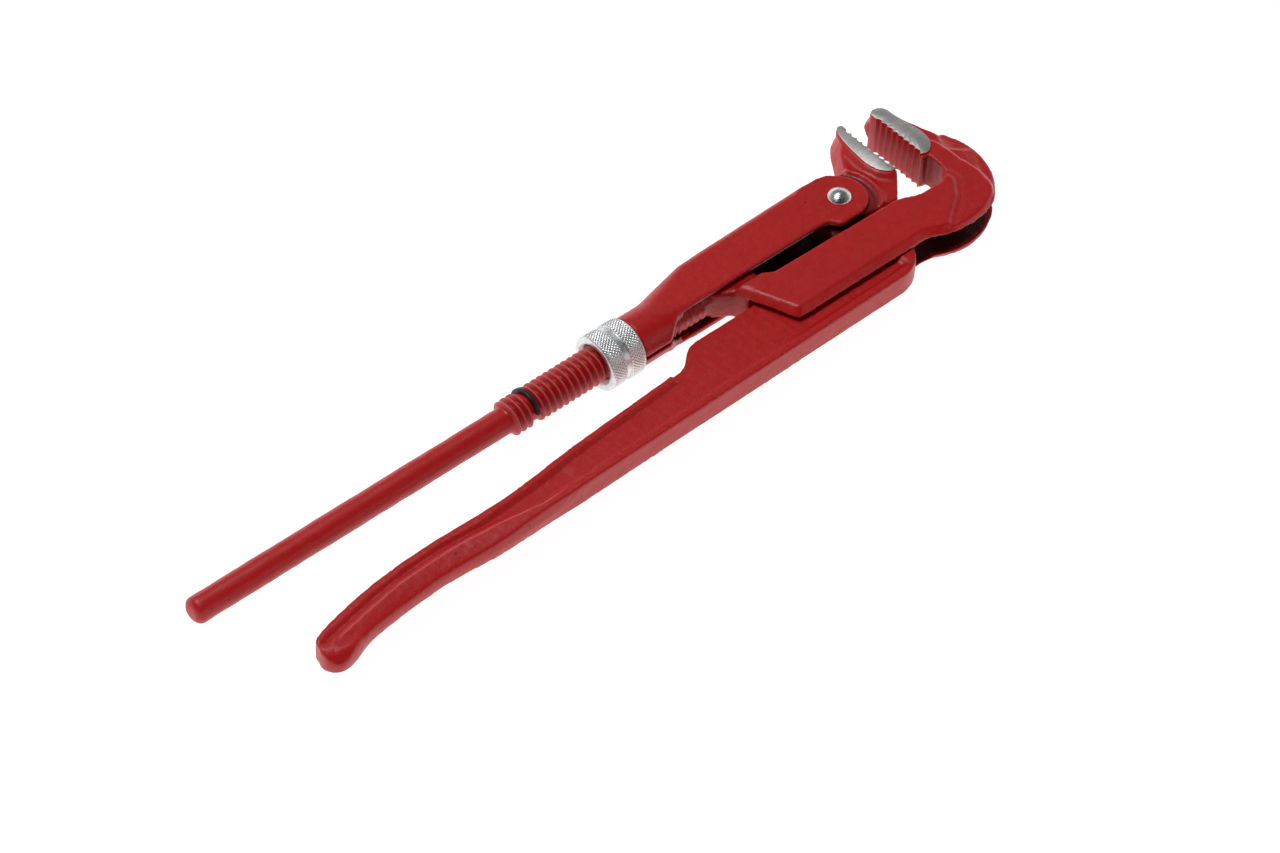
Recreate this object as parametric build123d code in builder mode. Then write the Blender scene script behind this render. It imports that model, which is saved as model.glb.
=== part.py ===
from build123d import *
import os

# Elbow-pattern pipe wrench with 90 degree jaws, 1 inch size, in millimetres.
# The wrench lies flat. Every profile is drawn in the tool's own coordinates: X runs along the
# threaded rod towards the jaws, Y towards the jaw tips, and zero is on the rod's axis at the
# middle of the adjusting nut. The plane called tool puts those coordinates in the part's frame,
# whose origin is at the middle of the footprint on the surface that the wrench lies on.

os.makedirs("parts", exist_ok=True)

# ---- driving dimensions ----
rod_end = -167.5            # butt of the round handle
elbow_centre = (126.0, -11.0)
elbow_r = 24.0              # outside of the hook's elbow
jaw_half = 7.7              # half width of both jaws and of the shank
slot_half = 4.7             # half width of the slot that the lever passes through
lever_half = 4.4            # half thickness of the lever in that slot
pivot_x = 98.6              # rivet, on the rod's axis
cheek_out = 8.5             # outer face of the sleeve's cheeks
cheek_in = 6.3
rivet_r = 3.0
rivet_head_r = 4.0
rivet_head = 2.1            # height of the domed heads
thread_pitch = 2.5
thread_core_r = 5.1
thread_crest_r = 6.3
thread_start = -43.0
thread_turns = 28
thread_clearance = 0.25
handle_r = 4.5
nut_r = 9.7
nut_back = -6.8
nut_front = 7.4
hook_face = 133.0           # tips of the hook jaw's teeth
lever_face = 122.6          # tips of the lower jaw's teeth
tooth_pitch = 2.6
tooth_depth = 1.1
tooth_count = 8
shank_front = -12.1
shank_back = -30.2

# ---- the part's frame ----
elbow_out = 150.84          # furthest point of the elbow along X
jaw_tip_y = 26.8            # furthest points across: the lever's jaw and its handle
handle_low_y = -45.57
rod_x = -(rod_end + elbow_out) / 2
rod_y = -(jaw_tip_y + handle_low_y) / 2
rod_z = cheek_out + rivet_head
tool = Plane(origin=(rod_x, rod_y, rod_z))
rod_axis = Axis(tool.origin, (1, 0, 0))
pivot = tool.origin + Vector(pivot_x, 0, 0)
pivot_axis = Axis(pivot, (0, 0, 1))


def level(height):
    """Plan plane at a height above the rod's axis."""
    return tool.offset(height)


def station(x):
    """Plane across the rod at x, with Y to its right and Z up."""
    return Plane(origin=tool.origin + Vector(x, 0, 0), x_dir=(0, 1, 0), z_dir=(1, 0, 0))


def beyond(half, top):
    """The two planes and depths of the layers between half and top, above and below the axis."""
    return [(level(half), top - half), (level(-top), top - half)]


def thread_ridge(start, turns, crest_r, widening):
    """Right-hand helical ridge of the rod's thread, standing a little inside the core."""
    with BuildPart() as ridge:
        with BuildLine() as path:
            Helix(
                pitch=thread_pitch,
                height=turns * thread_pitch,
                radius=thread_core_r,
                center=tool.origin + Vector(start, 0, 0),
                direction=(1, 0, 0),
            )
        root = path.line @ 0
        outward = (root - tool.origin - Vector(start, 0, 0)).normalized()
        across = Plane(origin=root, x_dir=outward, z_dir=Vector(1, 0, 0).cross(outward))
        root_half = 1.15 + widening
        crest_half = 0.3 + widening
        depth = crest_r - thread_core_r
        with BuildSketch(across):
            with BuildLine():
                Polyline(
                    (-0.3, -root_half),
                    (-0.3, root_half),
                    (depth, crest_half),
                    (depth, -crest_half),
                    close=True,
                )
            make_face()
        sweep(path=path.wires()[0], is_frenet=True)
    return ridge.part


def tooth_grooves(face_x, low_y, into):
    """Centres of the round-bottomed grooves across a jaw face; into is +1 or -1 along X."""
    centres = []
    for tooth in range(tooth_count):
        centres.append((face_x - into * 0.35, low_y + tooth * tooth_pitch))
    return centres


# ---- threaded rod with the round handle, the lower end of the hook leg's forging ----
rod_top = 30.5
ring_seat_turns = 2.35      # turns of thread between the handle and the stop ring's seat
with BuildPart() as threaded_rod:
    with BuildSketch(station(thread_start - 2)):
        Circle(thread_core_r)
    extrude(amount=rod_top - thread_start + 2)
    add(thread_ridge(thread_start, ring_seat_turns, thread_crest_r, 0))
    add(thread_ridge(thread_start + 4 * thread_pitch, thread_turns - 4, thread_crest_r, 0))
    with BuildSketch(station(rod_end)):
        Circle(handle_r)
    extrude(amount=thread_start - 2 - rod_end)
    butt = threaded_rod.edges().filter_by(GeomType.CIRCLE).sort_by(Axis.X)[0]
    fillet(butt, radius=2.6)
threaded_rod.part.label = "threaded_rod"
export_step(threaded_rod.part, "parts/threaded_rod.step")

# ---- stop ring, an open snap ring on the bare core between two stretches of thread ----
ring_x = -35.05
ring_low_r = thread_core_r + 0.05
ring_high_r = 6.7
ring_width = 1.4
ring_turn = 275             # the gap faces the lever and the surface that the wrench lies on
ring_plane = Plane(origin=tool.origin, x_dir=(1, 0, 0), z_dir=(0, -0.94, 0.342))
with BuildPart() as stop_ring:
    with BuildSketch(ring_plane):
        with Locations((ring_x, -(ring_low_r + ring_high_r) / 2)):
            RectangleRounded(ring_width, ring_high_r - ring_low_r, 0.35)
    revolve(axis=rod_axis, revolution_arc=ring_turn)
stop_ring.part.label = "stop_ring"
export_step(stop_ring.part, "parts/stop_ring.step")

# ---- adjusting nut: two knurled bands, a plain groove, and the rod's thread inside ----
nut_groove_low = -0.7
nut_groove_high = 1.6
nut_rim = 0.8
nut_thread_start = thread_start + 12 * thread_pitch
with BuildPart() as adjusting_nut:
    with BuildSketch(station(nut_back)):
        Circle(nut_r)
        Circle(thread_core_r + thread_clearance, mode=Mode.SUBTRACT)
    extrude(amount=nut_front - nut_back)
    add(
        thread_ridge(nut_thread_start, 9, thread_crest_r + thread_clearance, 0.2),
        mode=Mode.SUBTRACT,
    )
    rims = adjusting_nut.edges().filter_by(GeomType.CIRCLE).filter_by(lambda e: e.radius > nut_r - 0.1)
    chamfer(rims, length=nut_rim)
    with BuildSketch(station(nut_groove_low)):
        Circle(nut_r + 1)
        Circle(nut_r - 0.7, mode=Mode.SUBTRACT)
    extrude(amount=nut_groove_high - nut_groove_low, mode=Mode.SUBTRACT)
adjusting_nut.part.label = "adjusting_nut"
export_step(adjusting_nut.part, "parts/adjusting_nut.step")

# ---- sleeve: a rolled tube that opens into a fork with two flat cheeks ----
tube_r = 8.8
tube_bore_r = 6.65
tube_back = nut_front + 0.15
tube_end = 18.0
fork_start = 38.0
spine_end = 94.0
spine_low = 11.4            # outer face of the spine where the fork starts
spine_high = 12.6           # and where the spine ends
cheek_edge = -5.6           # open edge of both cheeks
fork_r = 9.5
wall = cheek_out - cheek_in


def sleeve_section(x, top_y, half, corner):
    """Outer section of the sleeve: from -tube_r to top_y across, half high each way."""
    with BuildSketch(station(x)) as section:
        with Locations(((top_y - tube_r) / 2, 0)):
            RectangleRounded(top_y + tube_r, 2 * half, corner)
    return section.sketch


with BuildPart() as sleeve:
    sections = [
        sleeve_section(tube_back, tube_r, tube_r, tube_r - 0.05),
        sleeve_section(tube_end, tube_r, tube_r, tube_r - 0.05),
        sleeve_section(fork_start, spine_low, cheek_out, 3.5),
        sleeve_section(spine_end, spine_high, cheek_out, 3.5),
    ]
    for first, second in zip(sections, sections[1:]):
        loft([first, second])
    # The fork's round ends carry the rivet.
    for plane, depth in beyond(cheek_in, cheek_out):
        with BuildSketch(plane):
            with BuildLine():
                Polyline(
                    (86.0, cheek_edge),
                    (88.4, -6.5),
                    (90.6, -fork_r),
                    (pivot_x, -fork_r),
                    (pivot_x, 0),
                    (pivot_x, 10.9),
                    (spine_end - 4, 11.0),
                    (86.0, 6.0),
                    close=True,
                )
            make_face()
            with Locations((pivot_x, 0)):
                Circle(fork_r)
            with BuildLine():
                Polyline(
                    (pivot_x, 10.9),
                    (pivot_x + 3.4, 9.9),
                    (pivot_x + 6.5, 7.0),
                    (pivot_x, 3.0),
                    close=True,
                )
            make_face()
        extrude(amount=depth)
    # Inside: the tube's bore, and the space between the cheeks.
    with BuildSketch(station(tube_back)):
        Circle(tube_bore_r)
    extrude(amount=fork_start - tube_back, mode=Mode.SUBTRACT)
    with BuildSketch(level(-cheek_in)):
        with BuildLine():
            Polyline(
                (26.0, -20.0),
                (26.0, 5.5),
                (fork_start, spine_low - wall),
                (spine_end, spine_high - wall),
                (spine_end, 20.0),
                (115.0, 20.0),
                (115.0, -20.0),
                close=True,
            )
        make_face()
    extrude(amount=2 * cheek_in, mode=Mode.SUBTRACT)
    # The open side, cut back to the cheeks' edges, and the tube's seam.
    with BuildSketch(level(-12)):
        with BuildLine():
            Polyline(
                (18.5, -12.0),
                (18.5, -8.6),
                (23.5, cheek_edge),
                (86.0, cheek_edge),
                (88.4, -6.5),
                (90.6, -fork_r),
                (90.6, -12.0),
                close=True,
            )
        make_face()
    extrude(amount=24, mode=Mode.SUBTRACT)
    with BuildSketch(level(-0.5)):
        with Locations((20, -8)):
            Rectangle(30, 8)
    extrude(amount=1.0, mode=Mode.SUBTRACT)
    with BuildSketch(level(-12)):
        with Locations((pivot_x, 0)):
            Circle(rivet_r)
    extrude(amount=24, mode=Mode.SUBTRACT)
sleeve.part.label = "sleeve"
export_step(sleeve.part, "parts/sleeve.step")

# ---- jaw rivet: the fork's hinge pin, with a domed head on each cheek ----
with BuildPart() as jaw_rivet:
    with BuildSketch(Plane(origin=pivot, x_dir=(1, 0, 0), z_dir=(0, -1, 0))):
        with BuildLine():
            Line((0, 0), (0, cheek_out + rivet_head))
            ThreePointArc(
                (0, cheek_out + rivet_head),
                (rivet_head_r * 0.57, cheek_out + rivet_head * 0.73),
                (rivet_head_r, cheek_out),
            )
            Polyline((rivet_head_r, cheek_out), (rivet_r, cheek_out), (rivet_r, 0), (0, 0))
        make_face()
    revolve(axis=pivot_axis)
    mirror(about=tool)
jaw_rivet.part.label = "jaw_rivet"
export_step(jaw_rivet.part, "parts/jaw_rivet.step")

# ---- hook jaw: hook, elbow, slotted shank and the boot that joins the rod ----
web_half = 5.6              # half thickness of the web between the rod and the boot
web_start = 38.5            # round below this, square above it
web_end = 56.2
back_bevel = 2.6
ground_y = 2.0              # where the elbow's plate gives way to the drafted jaw block
jaw_draft = 27
slot_front_end = 127.0      # the slot is open to the front as far as here
slot_floor_r = 15.5         # and this deep round the elbow's back
elbow_x, elbow_y = elbow_centre

# Jaw block of the hook, widest at its middle plane and drafted to both ground faces.
with BuildPart() as hook_block:
    with BuildSketch(tool):
        with BuildLine():
            Polyline((129.0, -6.7), (129.0, 21.6), (131.9, 23.9), (134.6, 25.4))
            ThreePointArc((134.6, 25.4), (138.3, 26.2), (141.3, 23.2))
            Polyline((141.3, 23.2), (143.2, 17.0), (145.9, 8.5), (148.2, ground_y))
            ThreePointArc((148.2, ground_y), (146.0, -4.0), (139.5, -6.7))
            Line((139.5, -6.7), (129.0, -6.7))
        make_face()
    extrude(amount=jaw_half, taper=jaw_draft)
    mirror(about=tool)

with BuildPart() as hook_jaw:
    # Web inside the sleeve, from the rod's end to the boot.
    with BuildSketch(level(-web_half)):
        with BuildLine():
            Polyline(
                (web_start, web_half),
                (52.0, web_half),
                (web_end, 1.0),
                (web_end, -13.5),
                (44.4, -13.5),
                (41.5, -8.4),
                (web_start, -web_half),
                close=True,
            )
        make_face()
    extrude(amount=2 * web_half)
    chamfer(hook_jaw.edges().filter_by(Axis.X), length=2.0)
    with BuildSketch(station(rod_top)):
        Circle(web_half)
    extrude(amount=web_start + 1 - rod_top)
    # Boot, shank and elbow.
    with BuildSketch(level(-jaw_half)):
        with BuildLine():
            Polyline(
                (148.2, ground_y),
                (134.0, ground_y),
                (134.0, -2.8),
                (135.5, -4.0),
                (135.5, -9.0),
            )
            ThreePointArc((135.5, -9.0), (133.2, -13.6), (127.0, -15.3))
            Spline(
                (127.0, -15.3),
                (118.5, -14.7),
                (111.0, shank_front),
                tangents=[(-1, 0), (-1, 0.05)],
            )
            Polyline(
                (111.0, shank_front),
                (59.8, -10.9),
                (56.2, -8.4),
                (44.2, -8.0),
                (52.6, -28.2),
            )
            ThreePointArc((52.6, -28.2), (53.9, -29.7), (56.0, shank_back))
            Line((56.0, shank_back), (108.5, shank_back))
            ThreePointArc((108.5, shank_back), (111.8, -30.8), (114.6, -32.1))
            ThreePointArc(
                (114.6, -32.1),
                (elbow_x + 13.5, elbow_y - 19.9),
                (148.2, ground_y),
            )
        make_face()
    extrude(amount=2 * jaw_half)
    back_edges = (
        hook_jaw.edges()
        .filter_by_position(Axis.Y, rod_y - 60, rod_y - 14)
        .filter_by(lambda e: abs(abs((e @ 0.5).Z - rod_z) - jaw_half) < 0.01)
        .filter_by(lambda e: (e @ 0.5).Y - rod_y < -17 or (e @ 0.5).X - rod_x < 50)
    )
    chamfer(back_edges, length=back_bevel)
    # The elbow's outer side falls away in a flat bevel on both faces.
    for side in (1, -1):
        lean = Plane(
            origin=tool.origin + Vector(141.6, 0, side * 7.5),
            x_dir=(0, 1, 0),
            z_dir=(0.29, -0.02, side),
        )
        with BuildSketch(lean):
            with Locations((-15, 0)):
                Rectangle(60, 60)
        extrude(amount=8, mode=Mode.SUBTRACT)
    add(hook_block.part)
    with BuildSketch(level(-jaw_half - 1)):
        with Locations((hook_face - 5, 13.5)):
            Rectangle(10, 34)
        with Locations((131.0, -6.25)):
            Rectangle(9, 5.5)
    extrude(amount=2 * jaw_half + 2, mode=Mode.SUBTRACT)
    with BuildSketch(level(-jaw_half - 1)):
        with Locations(tooth_grooves(hook_face, -0.4, 1)):
            Circle(tooth_depth + 0.35)
    extrude(amount=2 * jaw_half + 2, mode=Mode.SUBTRACT)
    # Slot: open to the front from the boot to the throat, then round the elbow's back.
    with BuildSketch(level(-slot_half)):
        with BuildLine():
            Polyline(
                (40.0, -13.1),
                (web_end, -13.1),
                (web_end, -8.0),
                (slot_front_end, -8.0),
                (slot_front_end, -40.0),
                (40.0, -40.0),
                close=True,
            )
        make_face()
    extrude(amount=2 * slot_half, mode=Mode.SUBTRACT)
    with BuildSketch(level(-slot_half)):
        with Locations(elbow_centre):
            Circle(elbow_r + 6)
            Circle(slot_floor_r, mode=Mode.SUBTRACT)
        with Locations((elbow_x - 20, 10)):
            Rectangle(100, 26, mode=Mode.SUBTRACT)
        with Locations((80, elbow_y)):
            Rectangle(60, 60, mode=Mode.SUBTRACT)
    extrude(amount=2 * slot_half, mode=Mode.SUBTRACT)
hook_jaw.part.label = "hook_jaw"
export_step(hook_jaw.part, "parts/hook_jaw.step")

# ---- lever leg: lower jaw, neck through the slot, and the I-section handle ----
hub_r = 9.4
hub_half = 6.1
pin_clearance = 0.05
shoulder_y = -10.6          # lowest edge of everything wider than the slot
recess_r = 13.6             # round seat for the fork's ends
jaw_body_half = 7.0
lever_draft = 26
web_depth = 1.2             # depth of the handle's recess on each side
flange_in = 2.8
flange_out = 3.2
handle_inner = [(-145.6, -33.6), (-134.3, -30.6), (-115.0, -27.8), (-96.3, -26.9), (-75.0, -27.4)]
handle_outer = [(-75.0, -40.3), (-97.0, -39.2), (-120.0, -40.4), (-135.0, -42.9), (-144.5, -45.57)]


def shifted(points, dy):
    """The same points moved along Y."""
    return [(x, y + dy) for x, y in points]


# Jaw block of the lever, outside the round seat and drafted to both faces at its back and tip.
with BuildPart() as jaw_block:
    with BuildSketch(tool):
        with BuildLine():
            Polyline(
                (104.5, -13.0),
                (104.5, 6.0),
                (115.0, 21.4),
                (117.6, 24.2),
                (122.0, 26.8),
                (126.5, 26.8),
                (126.5, -13.0),
                close=True,
            )
        make_face()
    extrude(amount=jaw_body_half, taper=lever_draft)
    mirror(about=tool)
    with BuildSketch(level(-jaw_half - 1)):
        with Locations((pivot_x, 0)):
            Circle(recess_r)
        with Locations((pivot_x - 10, 0)):
            Rectangle(20, 60)
    extrude(amount=2 * jaw_half + 2, mode=Mode.SUBTRACT)

with BuildPart() as lever_leg:
    with BuildSketch(level(-lever_half)):
        with BuildLine():
            Spline(*handle_inner, tangents=[(1, 0.35), (1, -0.01)])
            Spline((-75.0, -27.4), (-44.4, -25.2), (6.0, -21.8), tangents=[(1, -0.01), (1, 0.07)])
            Line((6.0, -21.8), (9.0, -21.6))
            Spline((9.0, -21.6), (15.5, -18.4), (22.0, -14.8), tangents=[(1, 0.05), (1, 0.1)])
            Line((22.0, -14.8), (80.0, -14.6))
            Spline((80.0, -14.6), (86.5, -10.5), (89.4, -1.5), tangents=[(1, 0.02), (0.1, 1)])
            Polyline(
                (89.4, -1.5),
                (pivot_x, 9.0),
                (118.0, 9.0),
                (121.6, -3.4),
                (113.2, -12.6),
            )
            Spline(
                (113.2, -12.6),
                (109.0, -20.5),
                (103.5, -30.9),
                tangents=[(-0.6, -1), (-0.6, -1)],
            )
            Spline((103.5, -30.9), (99.5, -35.0), (94.0, -36.9), tangents=[(-0.6, -1), (-1, -0.15)])
            Polyline((94.0, -36.9), (46.0, -37.6), (0.0, -38.3), (-40.0, -39.0), (-75.0, -40.3))
            Spline(*handle_outer, tangents=[(-1, -0.02), (-1, -0.05)])
            Spline(
                (-144.5, -45.57),
                (-148.1, -43.8),
                (-149.2, -39.6),
                (-148.2, -35.9),
                (-145.6, -33.6),
                tangents=[(-1, 0.05), (1, 0.35)],
            )
        make_face()
    extrude(amount=2 * lever_half)
    # Recess of the I-section on both sides, running out over the inner edge beside the slot.
    for plane, depth in beyond(lever_half - web_depth, lever_half + 1):
        with BuildSketch(plane):
            with BuildLine():
                Spline(
                    (-142.5, -36.8),
                    *shifted(handle_inner[1:], -flange_in),
                    tangents=[(1, 0.4), (1, -0.01)],
                )
                Spline(
                    (-75.0, -27.4 - flange_in),
                    (-44.4, -25.2 - flange_in),
                    (6.0, -21.8 - flange_in),
                    tangents=[(1, -0.01), (1, 0.07)],
                )
                Polyline(
                    (6.0, -21.8 - flange_in),
                    (8.0, -10.0),
                    (58.0, -10.0),
                    (60.0, -28.0),
                    (90.0, -28.0),
                    (92.0, -33.6),
                    (86.0, -33.8),
                )
                Polyline(
                    (86.0, -33.8),
                    (46.0, -37.6 + flange_out),
                    (0.0, -38.3 + flange_out),
                    (-40.0, -39.0 + flange_out),
                    (-75.0, -40.3 + flange_out),
                )
                Spline(
                    *shifted(handle_outer[:-1], flange_out),
                    (-141.5, -41.3),
                    tangents=[(-1, -0.02), (-1, -0.3)],
                )
                ThreePointArc((-141.5, -41.3), (-145.0, -39.6), (-142.5, -36.8))
            make_face()
        extrude(amount=depth, mode=Mode.SUBTRACT)
    # Hub between the sleeve's cheeks.
    with BuildSketch(level(-hub_half)):
        with Locations((pivot_x, 0)):
            Circle(hub_r)
        with BuildLine():
            Polyline(
                (pivot_x, 9.4),
                (106.5, 9.4),
                (119.0, 8.0),
                (121.6, -3.4),
                (114.9, shoulder_y),
                (pivot_x, -9.4),
                close=True,
            )
        make_face()
    extrude(amount=2 * hub_half)
    add(jaw_block.part)
    with BuildSketch(level(-jaw_half)):
        with BuildLine():
            Spline(
                (118.6, -0.6),
                (116.3, 5.0),
                (116.8, 14.0),
                (119.0, 23.2),
                tangents=[(-1, 1), (0.6, 1)],
            )
            ThreePointArc((119.0, 23.2), (121.2, 24.6), (123.4, 23.4))
            Polyline((123.4, 23.4), (123.4, -2.2), (120.6, -2.2), (118.6, -0.6))
        make_face()
    extrude(amount=2 * jaw_half)
    # Ends: the tooth plane, the lower corner, and the shoulder above the shank's front edge.
    with BuildSketch(level(-jaw_half - 1)):
        with Locations((lever_face + 5, 10)):
            Rectangle(10, 60)
        with BuildLine():
            Polyline((122.6, -2.2), (121.6, -3.4), (112.9, -13.0), (130, -13.0), (130, -2.2), close=True)
        make_face()
    extrude(amount=2 * jaw_half + 2, mode=Mode.SUBTRACT)
    with BuildSketch(level(-jaw_half - 1)):
        with Locations(tooth_grooves(lever_face, 2.4, -1)):
            Circle(tooth_depth + 0.35)
    extrude(amount=2 * jaw_half + 2, mode=Mode.SUBTRACT)
    for plane, depth in beyond(lever_half, jaw_half + 1):
        with BuildSketch(plane):
            with Locations((105.0, shoulder_y - 5)):
                Rectangle(60, 10)
        extrude(amount=depth, mode=Mode.SUBTRACT)
    for plane, depth in beyond(hub_half, jaw_half + 1):
        with BuildSketch(plane):
            with Locations((pivot_x, 0)):
                Circle(recess_r)
        extrude(amount=depth, mode=Mode.SUBTRACT)
    with BuildSketch(level(-jaw_half - 1)):
        with Locations((pivot_x, 0)):
            Circle(rivet_r + pin_clearance)
    extrude(amount=2 * jaw_half + 2, mode=Mode.SUBTRACT)
lever_leg.part.label = "lever_leg"
export_step(lever_leg.part, "parts/lever_leg.step")
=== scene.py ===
import math

import bmesh
import bpy
import numpy as np
from mathutils import Matrix, Vector


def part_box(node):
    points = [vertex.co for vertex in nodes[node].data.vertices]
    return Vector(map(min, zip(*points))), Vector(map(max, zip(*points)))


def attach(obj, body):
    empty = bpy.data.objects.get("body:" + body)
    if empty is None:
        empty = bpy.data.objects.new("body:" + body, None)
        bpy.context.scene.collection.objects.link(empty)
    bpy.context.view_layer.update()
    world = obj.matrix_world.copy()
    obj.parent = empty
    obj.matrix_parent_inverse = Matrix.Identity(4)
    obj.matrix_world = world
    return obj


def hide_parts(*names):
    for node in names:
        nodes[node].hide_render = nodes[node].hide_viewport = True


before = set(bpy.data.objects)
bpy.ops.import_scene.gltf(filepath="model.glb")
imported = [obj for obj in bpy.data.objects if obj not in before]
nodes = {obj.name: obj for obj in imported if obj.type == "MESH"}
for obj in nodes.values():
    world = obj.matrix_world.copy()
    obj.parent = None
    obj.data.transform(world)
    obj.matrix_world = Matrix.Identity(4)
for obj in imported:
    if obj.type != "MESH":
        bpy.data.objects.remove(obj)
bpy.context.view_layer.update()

# Elbow-pattern pipe wrench. Shapes are written in the tool's own coordinates, in millimetres:
# X along the threaded rod towards the jaws, Y towards the jaw tips, Z up, zero on the rod's axis
# at the middle of the adjusting nut. The rivet's box gives where that is in the row frame.
MM = 0.001
PIVOT_X = 98.6
rivet_low, rivet_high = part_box("jaw_rivet")
ORIGIN = np.array((rivet_low + rivet_high) / 2) - np.array((PIVOT_X * MM, 0, 0))


# ---------------------------------------------------------------- helpers: numbers
def ease(t):
    """Smooth step from 0 to 1."""
    t = np.clip(t, 0, 1)
    return t * t * (3 - 2 * t)


def mix(a, b, t):
    return a + (b - a) * t


def signed_distance(x, y, outline):
    """Distance from each point to a closed outline, positive inside."""
    best = np.full(len(x), 1e9)
    inside = np.zeros(len(x), bool)
    for (ax, ay), (bx, by) in zip(outline, outline[1:] + outline[:1]):
        dx, dy = bx - ax, by - ay
        t = np.clip(((x - ax) * dx + (y - ay) * dy) / (dx * dx + dy * dy), 0, 1)
        best = np.minimum(best, np.hypot(x - ax - t * dx, y - ay - t * dy))
        if ay != by:
            crosses = (ay > y) != (by > y)
            inside ^= crosses & (x < dx * (y - ay) / dy + ax)
    return np.where(inside, best, -best)


def waves(p, seed, longest, shortest, count=14):
    """Smooth seeded undulation of about -1 to 1 over points in millimetres."""
    rng = np.random.default_rng(seed)
    total = np.zeros(len(p))
    for _ in range(count):
        direction = rng.normal(size=3)
        direction /= np.linalg.norm(direction)
        length = math.exp(rng.uniform(math.log(shortest), math.log(longest)))
        total += np.sin(p @ direction * (2 * math.pi / length) + rng.uniform(0, 2 * math.pi))
    return total / math.sqrt(count)


# ---------------------------------------------------------------- helpers: meshes
def read_points(mesh):
    """A mesh's points in the tool's millimetres."""
    flat = np.empty(len(mesh.vertices) * 3)
    mesh.vertices.foreach_get("co", flat)
    return (flat.reshape(-1, 3) - ORIGIN) / MM


def write_points(mesh, points):
    mesh.vertices.foreach_set("co", (points * MM + ORIGIN).ravel())
    mesh.update()


def read_normals(mesh):
    flat = np.empty(len(mesh.vertices) * 3)
    mesh.vertices.foreach_get("normal", flat)
    return flat.reshape(-1, 3)


GRID_TURN = Matrix.Rotation(0.61, 4, "Z") @ Matrix.Rotation(0.47, 4, "X")


def remeshed(mesh, name, voxel):
    """A new mesh of even small faces round the same closed shape. The grid is turned away from
    the tool's axes, so that its steps along the long edges are short enough to smooth out."""
    mesh.transform(GRID_TURN)
    holder = bpy.data.objects.new(name, mesh)
    bpy.context.scene.collection.objects.link(holder)
    remesh = holder.modifiers.new("voxels", "REMESH")
    remesh.mode = "VOXEL"
    remesh.voxel_size = voxel * MM
    remesh.use_smooth_shade = True
    depsgraph = bpy.context.evaluated_depsgraph_get()
    made = bpy.data.meshes.new_from_object(holder.evaluated_get(depsgraph))
    bpy.data.objects.remove(holder)
    made.transform(GRID_TURN.inverted())
    made.name = name
    return made


def neighbour_means(mesh):
    """A function that gives the mean of each point's neighbours for an array over the points."""
    count = len(mesh.vertices)
    edges = np.empty(len(mesh.edges) * 2, int)
    mesh.edges.foreach_get("vertices", edges)
    a, b = edges.reshape(-1, 2).T
    degree = np.maximum(np.bincount(a, minlength=count) + np.bincount(b, minlength=count), 1)

    def means(values):
        columns = [
            (np.bincount(a, c[b], count) + np.bincount(b, c[a], count)) / degree for c in values.T
        ]
        return np.stack(columns, 1)

    return means


def relax(mesh, steps, weight=None, keep_size=False):
    """Laplacian smoothing; weight, from 0 to 1 for each point, limits it to some places.
    keep_size pushes back after each step, which clears the steps of the grid and keeps edges."""
    points = read_points(mesh)
    means = neighbour_means(mesh)
    share = 1.0 if weight is None else weight[:, None]
    for _ in range(steps):
        points += (means(points) - points) * 0.5 * share
        if keep_size:
            points -= (means(points) - points) * 0.52 * share
    write_points(mesh, points)


def mark_edges(mesh, size, gain=1.0, extra=0.0):
    """Stores how sharply the surface turns at each point, for painted highlights on edges and painted shade
    in hollows.
    """
    points, normals = read_points(mesh), read_normals(mesh)
    means = neighbour_means(mesh)
    turn = np.sum((points - means(points)) * normals, 1)[:, None] / size
    turn = means(means(turn))[:, 0]
    store(mesh, "edge", turn * gain + extra)


def store(mesh, name, values):
    layer = mesh.attributes.new(name, "FLOAT", "POINT")
    layer.data.foreach_set("value", values.astype(np.float32))


def finish_piece(mesh, name, material, body, replaced=()):
    """Links a mesh as a piece that rides on a CAD body."""
    mesh.name = name
    mesh.materials.clear()
    mesh.materials.append(material)
    piece = bpy.data.objects.new(name, mesh)
    bpy.context.scene.collection.objects.link(piece)
    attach(piece, body)
    if replaced:
        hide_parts(*replaced)
    return piece


def forging(
    name, node, voxel, steps, ripple, seed, shape=None, local=None, painted_shade=None, line=None, added=()
):
    """A soft-edged copy of a CAD node and of any added meshes: even faces, worked by
    shape(points), then smoothed. local(points) gives the weight of some extra smoothing;
    the painted shade mask and the painted highlight line, both functions of the points, are stored for the
    paint."""
    source = nodes[node].data.copy()
    for extra in added:
        joined = bmesh.new()
        joined.from_mesh(source)
        joined.from_mesh(extra)
        joined.to_mesh(source)
        joined.free()
    mesh = remeshed(source, name, voxel)
    if shape is not None:
        write_points(mesh, shape(read_points(mesh)))
    mesh = remeshed(mesh, name, voxel)
    relax(mesh, 10, keep_size=True)
    relax(mesh, steps)
    if local is not None:
        relax(mesh, 30, local(read_points(mesh)))
    points = read_points(mesh)
    mark_edges(mesh, voxel, 1.0, 0.0 if line is None else line(points))
    if painted_shade is not None:
        store(mesh, "painted_shade", painted_shade(points))
    write_points(mesh, points + read_normals(mesh) * (waves(points, seed, 9, 2.2) * ripple)[:, None])
    mesh.shade_smooth()
    return mesh


def lattice(rows, closed_rows, close_columns, ends=()):
    """A mesh over rows of points; each row is a loop if close_columns. ends caps those rows."""
    count, width = len(rows), len(rows[0])
    points = np.concatenate(rows)
    faces = []
    for r in range(count if closed_rows else count - 1):
        low, high = r * width, (r + 1) % count * width
        for c in range(width if close_columns else width - 1):
            n = (c + 1) % width
            faces.append((low + c, low + n, high + n, high + c))
    for r in ends:
        faces.append(tuple(range(r * width, (r + 1) * width)))
    mesh = bpy.data.meshes.new("lattice")
    mesh.from_pydata((points * MM + ORIGIN).tolist(), [], faces)
    edit = bmesh.new()
    edit.from_mesh(mesh)
    bmesh.ops.recalc_face_normals(edit, faces=edit.faces)
    edit.to_mesh(mesh)
    edit.free()
    mesh.shade_smooth()
    return mesh


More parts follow.
